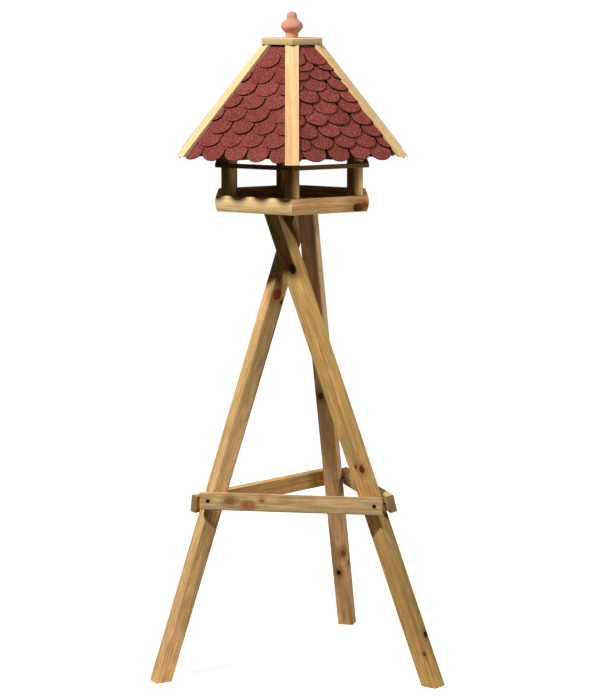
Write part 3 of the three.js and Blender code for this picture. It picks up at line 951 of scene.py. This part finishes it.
def board(node, level_grain, pith):
    """A merged copy of a frame board, with grain that runs level."""
    mesh = merged(node)
    bmesh.ops.dissolve_limit(mesh, angle_limit=FLAT_WITHIN, verts=mesh.verts, edges=mesh.edges)
    low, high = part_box(node)
    turn = Matrix((level_grain, UP.cross(level_grain), UP)).transposed().to_4x4()
    note_places(mesh, Matrix.Translation((low + high) / 2) @ turn)
    material = pine(f"pine of {node}", "grey", pith, BOARD_RING_WIDTH)
    finished(mesh, f"sawn_{node}", "grey_board", [material], node)


for number, (side, degrees) in enumerate(SIDES.items()):
    board(f"roof_board_{side}", UP.cross(outwards(degrees)), (0.02 * number, 0.09))
board("tray_floor", Vector((1, 0, 0)), (0.03, 0.1))
print("boards", len(SIDES) + 1)

# %% [markdown]
# ## Shingles, the material
# The shingles are bitumen felt faced with crushed red-brown stone. Close up they are grains a
# millimetre or two across in many shades, and further off a speckle with paler and darker
# patches. Voronoi cells give each grain its own random shade, noise gives the patches, and every
# tab has a tone of its own, stored in its mesh. The cut edges are bare black bitumen. So is the
# sheet under the tabs, which is painted shade: it shows dark in the slots and the eave's notches.

# %% Granules
GRAIN_SIZE = 0.0014
DARK_GRAINS = (0.0, 0.42)
LIGHT_GRAINS = (0.62, 1.0)
GRAIN_ROUND = (0.0, 0.7)
PATCHES = Layer(240, 2, 0.3, 0.7, 0.8, 1.18)
BROAD_PATCHES = Layer(22, 2, 0.3, 0.7, 0.92, 1.06)
TAB_SHADES = (0.9, 1.09)


def make_granule_group():
    tree, given, result = new_group(
        "stone granules",
        {
            "Place": A_PLACE, "Tone": (NUMBER, 0.5),
            "Dark Colour": A_COLOUR, "Middle Colour": A_COLOUR, "Light Colour": A_COLOUR,
        },
        {"Colour": COLOUR, "Height": NUMBER},
    )
    cells = add_node(tree, "ShaderNodeTexVoronoi", {"Vector": given["Place"], "Scale": 1 / GRAIN_SIZE})
    pick = add_node(tree, "ShaderNodeSeparateColor", {0: cells.outputs["Color"]}).outputs
    dark = eased(tree, pick[0], *DARK_GRAINS, 1.0, 0.0)
    light = eased(tree, pick[1], *LIGHT_GRAINS)
    colour = mixed(tree, dark, given["Middle Colour"], given["Dark Colour"])
    colour = mixed(tree, light, colour, given["Light Colour"])
    patches = layer_of(tree, given["Place"], PATCHES)[1]
    broad = layer_of(tree, given["Place"], BROAD_PATCHES)[1]
    shade = calculate(tree, "MULTIPLY", patches, broad)
    tab_shade = eased(tree, given["Tone"], 0.0, 1.0, *TAB_SHADES)
    shade = calculate(tree, "MULTIPLY", shade, tab_shade)
    feed(tree, result["Colour"], shaded(tree, colour, shade))
    feed(tree, result["Height"], eased(tree, cells.outputs["Distance"], *GRAIN_ROUND, 1.0, 0.0))
    return tree


granule_group = make_granule_group()
print("group", granule_group.name)

# %% Felt and bitumen
FELT_RELIEF = (0.7, 0.0008)
BITUMEN_LUMPS = 400
BITUMEN_RELIEF = (0.5, 0.0005)


def granular_felt():
    material, tree, shader = new_material("granular felt")
    grains = place_group(tree, granule_group, {
        "Place": object_place(tree), "Tone": stored(tree, "tab_tone"), "Dark Colour": paint("4b1f1f"),
        "Middle Colour": paint("76352e"), "Light Colour": paint("925448"),
    })
    feed(tree, shader.inputs["Base Color"], grains["Colour"])
    shader.inputs["Roughness"].default_value = 0.9
    shader.inputs["Specular IOR Level"].default_value = 0.08
    give_relief(tree, shader, grains["Height"], *FELT_RELIEF)
    return material


def bare_bitumen():
    material, tree, shader = new_material("bare bitumen")
    lumps = noise(tree, object_place(tree), BITUMEN_LUMPS, 3)
    feed(tree, shader.inputs["Base Color"], mixed(tree, lumps, paint("140505"), paint("2a0c0a")))
    shader.inputs["Roughness"].default_value = 0.8
    shader.inputs["Specular IOR Level"].default_value = 0.15
    give_relief(tree, shader, lumps, *BITUMEN_RELIEF)
    return material


felt = granular_felt()
bitumen = bare_bitumen()
print("shingle materials", felt.name, bitumen.name)

# %% [markdown]
# ## One tab
# A shingle strip is cut into tabs with rounded lower ends and slots between them. A tab starts as
# a circle, flattened, and its upper half is deleted. The arc that is left is extruded up beside
# the slots, out to the full pitch where they end, and on to the strip's top edge, and the sheet is
# extruded to its thickness. That is a few dozen faces, few enough to lay hundreds. The strip of
# the top course is a little taller, and reaches in under the cap.

# %% Tab
TAB_PITCH = 0.0523
TAB_WIDTH = 0.0488
TAB_THICKNESS = 0.0028
SCALLOP_DEPTH = 0.019
SLOT_HEIGHT = 0.029
SLOT_TOP = 0.0305
STRIP_HEIGHT = 0.06
TOP_STRIP_HEIGHT = 0.07
ARC_STEPS = 10
FACES_UP = 0.9
FACED = 0
BARE_AND_SHADE = 1


def make_tab(strip_height):
    """A tab that lies face up, with the middle of its lower edge at the origin."""
    tab = bmesh.new()
    bmesh.ops.create_circle(tab, cap_ends=False, segments=2 * ARC_STEPS, radius=TAB_WIDTH / 2)
    upper = [vertex for vertex in tab.verts if vertex.co.y > SAME_SPOT]
    bmesh.ops.delete(tab, geom=upper, context="VERTS")
    bmesh.ops.scale(tab, vec=(1, 2 * SCALLOP_DEPTH / TAB_WIDTH, 1), verts=tab.verts)
    bmesh.ops.translate(tab, vec=(0, SCALLOP_DEPTH, 0), verts=tab.verts)
    edges = tab.edges[:]
    for widening, height in (1, SLOT_HEIGHT), (TAB_PITCH / TAB_WIDTH, SLOT_TOP), (1, strip_height):
        grown = bmesh.ops.extrude_edge_only(tab, edges=edges)["geom"]
        edges = of_kind(grown, bmesh.types.BMEdge)
        points = of_kind(grown, bmesh.types.BMVert)
        bmesh.ops.scale(tab, vec=(widening, 0, 1), verts=points)
        bmesh.ops.translate(tab, vec=(0, height, 0), verts=points)
    bmesh.ops.recalc_face_normals(tab, faces=tab.faces)
    if tab.faces[:][0].normal.z > 0:
        bmesh.ops.reverse_faces(tab, faces=tab.faces[:])
    lifted = bmesh.ops.extrude_face_region(tab, geom=tab.faces[:])["geom"]
    bmesh.ops.translate(tab, vec=(0, 0, TAB_THICKNESS), verts=of_kind(lifted, bmesh.types.BMVert))
    bmesh.ops.recalc_face_normals(tab, faces=tab.faces)
    for face in tab.faces:
        face.material_index = FACED if face.normal.z > FACES_UP else BARE_AND_SHADE
    data = bpy.data.meshes.new("tab")
    tab.to_mesh(data)
    tab.free()
    return data


plain_tab = make_tab(STRIP_HEIGHT)
top_tab = make_tab(TOP_STRIP_HEIGHT)
print("a tab has", len(plain_tab.polygons), "faces")

# %% [markdown]
# ## Laying the courses
# The roofer spreads an underlay, starts at the eave and works up, each course resting on the one
# below, which tilts it. A tab tilts a little more, so that its lower edge lifts, each by a chance of
# its own. On the two sides in the photograph the courses and tabs lie where they do there: a course
# has the height where its tabs start and the middles of its tabs, in millimetres. The other four
# are laid in the same way, with small chances of their own. Beside the ridge battens the tabs are
# sawn off.

# %% Courses
Course = namedtuple("Course", "start tabs")

PHOTOGRAPHED = {
    "front_left": [
        Course(-18, (-108, -58, -5, 48, 100)),
        Course(13, (-79, -25, 23, 76)),
        Course(45, (-63, -10, 40)),
        Course(74, (-40, 14, 68)),
        Course(107, (-63, -8, 45)),
        Course(140, (-39, 13)),
        Course(170, (-10, 44)),
        Course(209, (-9,)),
    ],
    "front_right": [
        Course(-17, (-75, -18, 33, 82)),
        Course(10, (-98, -48, 5, 55)),
        Course(37, (-76, -22, 29, 82)),
        Course(66, (-42, 9, 67)),
        Course(94, (-66, -10, 47)),
        Course(122, (-41, 10, 60)),
        Course(151, (-16, 42)),
        Course(177, (-43, 5)),
        Course(201, (-28, 30)),
        Course(214, (11,)),
    ],
}
UNSEEN = {
    "right": (29.5, 6),
    "back_right": (30.5, -10),
    "back_left": (29, 16),
    "left": (30.2, -4),
}
UNSEEN_COURSES = 8
UNSEEN_START = -19
UNSEEN_TOP = 212
HALF_PITCH = 26
MOST_SHIFT = 4
HALF_ROOF = 0.16


def courses_of(side, chance):
    """The courses of one side, with every tab's middle, in metres."""
    if side in PHOTOGRAPHED:
        plan = PHOTOGRAPHED[side]
    else:
        exposure, shift = UNSEEN[side]
        starts = [UNSEEN_START + exposure * number for number in range(UNSEEN_COURSES)] + [UNSEEN_TOP]
        plan = []
        for number, start in enumerate(starts):
            middle = shift + HALF_PITCH * (number % 2) + chance.uniform(-MOST_SHIFT, MOST_SHIFT)
            plan.append(Course(start, (middle,)))
    courses = []
    for course in plan:
        middles = [middle * MM for middle in course.tabs]
        while middles[0] > -HALF_ROOF:
            middles.insert(0, middles[0] - TAB_PITCH)
        while middles[-1] < HALF_ROOF:
            middles.append(middles[-1] + TAB_PITCH)
        courses.append(Course(course.start * MM, middles))
    return courses


def roof_side(side):
    """The matrix of sideways, up the slope and outwards, from the foot of one roof board."""
    plain = merged(f"roof_board_{side}")
    face = flat_sides(plain)[0]
    spots = [vertex.co for vertex in plain.verts]
    foot = min(spot.z for spot in spots if abs(height_over(face, spot)) < SAME_PLANE)
    plain.free()
    direction = outwards(SIDES[side])
    reach = (face.point - feeder_axis).dot(face.normal) - foot * face.normal.z
    reach /= direction.dot(face.normal)
    sideways = UP.cross(direction)
    turn = Matrix((sideways, face.normal.cross(sideways), face.normal)).transposed().to_4x4()
    return Matrix.Translation(feeder_axis + direction * reach + UP * foot) @ turn


print("front left slope", [round(value, 3) for value in roof_side("front_left").translation])


# %% Skins of shingles
FIRST_LIFT = 0.0003
UNDERLAY_WIDTH = 0.4
UNDERLAY_HEIGHT = 0.3
UNDERLAY_THICKNESS = 0.0014
UNDERLAY_DROP = 0.0065
LAYER_STEP = 0.0024
WIDEST_TAB = 1.1
MOST_STEP = 0.0012
LEAST_CURL_SHARE = 0.3
MOST_CURL = 0.0032
MOST_TURN = 1.3
BESIDE_BATTEN = 0.0143
BATTEN_WAYS = (-120, 120)


def lay_shading_underlay(skin, slope):
    """A plain sheet of bare black bitumen under all the courses: painted shade, dark in the slots
    between their tabs and in the notches of the eave.
    """
    size = Vector((UNDERLAY_WIDTH, UNDERLAY_HEIGHT, UNDERLAY_THICKNESS))
    middle = Vector((0, UNDERLAY_HEIGHT / 2 - UNDERLAY_DROP, UNDERLAY_THICKNESS / 2 + FIRST_LIFT))
    sheet = bmesh.ops.create_cube(skin, size=1)["verts"]
    bmesh.ops.scale(skin, vec=size, verts=sheet)
    bmesh.ops.transform(skin, matrix=slope @ Matrix.Translation(middle), verts=sheet)
    # Black bitumen on every face: the sheet paints the shade seen through the slots and notches.
    for face in {face for vertex in sheet for face in vertex.link_faces}:
        face.material_index = BARE_AND_SHADE


def lay(skin, tab, place, width_share, tones, tone):
    """Adds one tab to the skin, at this place."""
    before = len(skin.verts)
    skin.from_mesh(tab)
    skin.verts.ensure_lookup_table()
    new = skin.verts[before:]
    for vertex in new:
        vertex[tones] = tone
    bmesh.ops.scale(skin, vec=(width_share, 1, 1), verts=new)
    bmesh.ops.transform(skin, matrix=place, verts=new)


def shingle_side(side, seed):
    chance = random.Random(seed)
    slope = roof_side(side)
    skin = bmesh.new()
    tones = skin.verts.layers.float.new("tab_tone")
    lay_shading_underlay(skin, slope)
    below = None
    courses = courses_of(side, chance)
    for course in courses:
        at_top = course is courses[-1]
        tab, height = (top_tab, TOP_STRIP_HEIGHT) if at_top else (plain_tab, STRIP_HEIGHT)
        rise = 0.0
        if below:
            rise = (below[0] + STRIP_HEIGHT - course.start) * below[1] + LAYER_STEP
        slant = rise / height
        below = (course.start, slant)
        gaps = [after - middle for middle, after in zip(course.tabs, course.tabs[1:])] + [TAB_PITCH]
        for middle, gap in zip(course.tabs, gaps):
            step = course.start + chance.uniform(-MOST_STEP, MOST_STEP)
            curl = chance.uniform(LEAST_CURL_SHARE, 1) * MOST_CURL
            turn = math.radians(chance.uniform(-MOST_TURN, MOST_TURN))
            tone = chance.random()
            tilt = slant + curl / height
            lift = FIRST_LIFT + UNDERLAY_THICKNESS + rise + curl
            place = slope @ Matrix.Translation((middle, step, lift))
            place = place @ Matrix.Rotation(-math.atan(tilt), 4, "X") @ Matrix.Rotation(turn, 4, "Z")
            lay(skin, tab, place, min(gap / TAB_PITCH, WIDEST_TAB), tones, tone)
    for way in BATTEN_WAYS:
        away = outwards(SIDES[side] + way)
        saw(skin, feeder_axis - away * BESIDE_BATTEN, away, BARE_AND_SHADE)
    saw(skin, feeder_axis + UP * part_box(f"roof_board_{side}")[1].z, UP, BARE_AND_SHADE)
    piece = finished(skin, f"tabs_{side}", "red_shingle", [felt, bitumen], f"shingles_{side}", sharp=30)
    print(piece.name, len(piece.data.polygons), "faces")


for seed, side in enumerate(SIDES):
    shingle_side(side, seed + 11)

# %% [markdown]
# ## Ridge battens
# Six planed laths of pale pine cover the hips, the only pieces that are left untreated together
# with the cap. They are cut level at both ends. Two of them are of a slightly warmer pine, as in
# the photograph, and all have straighter grain than the legs.

# %% Ridge battens
BATTEN_EDGE = 0.0009
BATTEN_RING_WIDTH = 0.005
STRAIGHT = 0.006

for number, corner in enumerate(CORNERS):
    node = f"ridge_batten_{corner}"
    pith = (0.01 - 0.004 * number, -0.03)
    kind = "honey" if corner in ("front", "right_front") else "pale"
    name = f"planed_batten_{corner}"
    timber(node, kind, name, BATTEN_EDGE, pith, BATTEN_RING_WIDTH, wander=STRAIGHT)

# %% [markdown]
# ## Cap
# A six-sided plate closes the roof. A circle with six segments is its outline, extruded to the
# thickness, with all its edges eased.

# %% Cap
CAP_EDGE = 0.0014
CAP_PITH = (0.02, -0.3)
CAP_RING_WIDTH = 0.004
CAP_SHIFT = 3.1
CAP_WANDER = 0.003


def make_cap():
    plain = merged("cap")
    radius = max((corner.co - feeder_axis).xy.length for corner in plain.verts)
    plain.free()
    mesh = bmesh.new()
    bmesh.ops.create_circle(mesh, cap_ends=True, segments=len(SIDES), radius=radius)
    bmesh.ops.translate(mesh, vec=(feeder_axis.x, feeder_axis.y, cap_low.z), verts=mesh.verts)
    grown = bmesh.ops.extrude_face_region(mesh, geom=mesh.faces[:])["geom"]
    thickness = cap_high.z - cap_low.z
    bmesh.ops.translate(mesh, vec=(0, 0, thickness), verts=of_kind(grown, bmesh.types.BMVert))
    bmesh.ops.recalc_face_normals(mesh, faces=mesh.faces)
    ease(mesh, mesh.edges[:], CAP_EDGE)
    note_places(mesh, Matrix.Translation((cap_low + cap_high) / 2))
    material = pine("pine of cap", "pale", CAP_PITH, CAP_RING_WIDTH, shift=CAP_SHIFT, wander=CAP_WANDER)
    finished(mesh, "sawn_cap", "pale_pine", [material], "cap")
    print("cap", round(thickness / MM, 1), "mm thick")


make_cap()

# %% [markdown]
# ## Finial
# The knob is turned on a lathe from pinkish beech: a foot, a round ball, a neck and a small
# button on top. Half of its outline, spun round the axis, gives the turned shape.

# %% Finial
FINIAL_STEPS = 48
SPLINE_STEPS = 4
FINIAL_PITH = (0.02, 0.01)
FINIAL_RING_WIDTH = 0.003
OUTLINE = [
    (0.54, 0), (0.57, 0.11), (0.6, 0.19), (0.9, 0.33), (1, 0.44), (0.89, 0.57),
    (0.62, 0.66), (0.47, 0.75), (0.45, 0.83), (0.39, 0.92), (0.2, 0.985), (0, 1),
]


def curve_points(spots):
    """Points on a smooth curve that runs through these spots."""
    ends = [spots[0], *spots, spots[-1]]
    points = []
    for before, start, end, after in zip(ends, ends[1:], ends[2:], ends[3:]):
        for step in range(SPLINE_STEPS):
            t = step / SPLINE_STEPS
            spot = 2 * start + (end - before) * t + (2 * before - 5 * start + 4 * end - after) * t ** 2
            spot += (3 * start - before - 3 * end + after) * t ** 3
            points.append(spot / 2)
    return [*points, spots[-1]]


def make_finial():
    low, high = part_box("finial")
    base = cap_high.z
    radius = (high.x - low.x) / 2
    spots = [Vector((share * radius, 0, base + rise * (high.z - base))) for share, rise in OUTLINE]
    outline = [Vector((0, 0, base)), *curve_points(spots)]
    mesh = bmesh.new()
    points = [mesh.verts.new(spot) for spot in outline]
    edges = [mesh.edges.new(pair) for pair in zip(points, points[1:])]
    bmesh.ops.translate(mesh, vec=feeder_axis, verts=mesh.verts)
    bmesh.ops.spin(
        mesh, geom=points + edges, cent=feeder_axis, axis=UP, angle=2 * math.pi,
        steps=FINIAL_STEPS, use_merge=True,
    )
    bmesh.ops.remove_doubles(mesh, verts=mesh.verts, dist=0.01 * MM)
    bmesh.ops.recalc_face_normals(mesh, faces=mesh.faces)
    note_places(mesh, Matrix.Translation((low + high) / 2) @ UPRIGHT)
    material = pine("turned beech", "beech", FINIAL_PITH, FINIAL_RING_WIDTH, shift=0)
    return finished(mesh, "turned_finial", "beech", [material], "finial", sharp=50)


print(make_finial().name, "made")

# %% [markdown]
# ## Screws
# The screws are steel, coloured near black: partly a dark plating and partly painted shade, as of
# heads sunk in their holes. Six hold the stretchers, and their heads show as black dots. A head is
# a low cone on a plain shank, with a round and very shallow socket, made by an inset that is pushed
# down. The four screws that are hidden are the frame's own, with the same material.

# %% Screws
HEAD_PROUD = 0.0005
HEAD_STEPS = 24
SOCKET_SHARE = 0.5
SOCKET_DEPTH = 0.0003
PLATING = Layer(900, 3, 0.4, 0.65, 0.0, 1.0)
PLATING_ROUGHNESS = (0.55, 0.75)


def dark_steel():
    material, tree, shader = new_material("dark steel with painted shade")
    spots = layer_of(tree, object_place(tree), PLATING)[1]
    # Near black: a dark plating, with the painted shade of a head sunk in its hole.
    feed(tree, shader.inputs["Base Color"], mixed(tree, spots, paint("070606"), paint("120d0a")))
    feed(tree, shader.inputs["Roughness"], eased(tree, spots, 0.0, 1.0, *PLATING_ROUGHNESS))
    shader.inputs["Metallic"].default_value = 0.1
    shader.inputs["Specular IOR Level"].default_value = 0.1
    return material


def head_side(node):
    """The flat face of a screw's head: the largest that has the whole screw on one side."""
    plain = merged(node)
    spots = [vertex.co.copy() for vertex in plain.verts]
    found = flat_sides(plain)
    plain.free()
    head = next(side for side in found if all(height_over(side, spot) < SAME_PLANE for spot in spots))
    rim = [spot for spot in spots if height_over(head, spot) > -SAME_PLANE]
    middle = sum(rim, Vector()) / len(rim)
    radius = max((spot - middle).length for spot in rim)
    length = max((middle - spot).dot(head.normal) for spot in spots)
    return middle, head.normal, radius, length


def make_screw(node):
    middle, normal, radius, length = head_side(node)
    head_depth = radius / 2
    shank_radius = radius / 2
    shank_length = length - head_depth
    mesh = bmesh.new()
    bmesh.ops.create_cone(
        mesh, cap_ends=True, segments=HEAD_STEPS, radius1=shank_radius, radius2=radius, depth=head_depth
    )
    bmesh.ops.translate(mesh, vec=(0, 0, HEAD_PROUD - head_depth / 2), verts=mesh.verts)
    mesh.normal_update()
    face = max(mesh.faces, key=lambda flat: flat.normal.z)
    bmesh.ops.inset_region(mesh, faces=[face], thickness=radius * (1 - SOCKET_SHARE), depth=0)
    sunk = bmesh.ops.extrude_face_region(mesh, geom=[face])["geom"]
    bmesh.ops.translate(mesh, vec=(0, 0, -SOCKET_DEPTH), verts=of_kind(sunk, bmesh.types.BMVert))
    bmesh.ops.delete(mesh, geom=[face], context="FACES")
    shank = bmesh.ops.create_cone(
        mesh, cap_ends=True, segments=HEAD_STEPS, radius1=shank_radius / 2, radius2=shank_radius,
        depth=shank_length,
    )["verts"]
    bmesh.ops.translate(mesh, vec=(0, 0, HEAD_PROUD - head_depth - shank_length / 2), verts=shank)
    turn = normal.to_track_quat("Z", "Y").to_matrix().to_4x4()
    bmesh.ops.transform(mesh, matrix=Matrix.Translation(middle) @ turn, verts=mesh.verts)
    finished(mesh, f"turned_{node}", "dark_steel", [steel], node)


steel = dark_steel()
for name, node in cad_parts.items():
    if name.startswith("screw_stretcher"):
        make_screw(name)
    elif name.startswith("screw"):
        node.data.materials.clear()
        node.data.materials.append(steel)
print("screws have", steel.name)
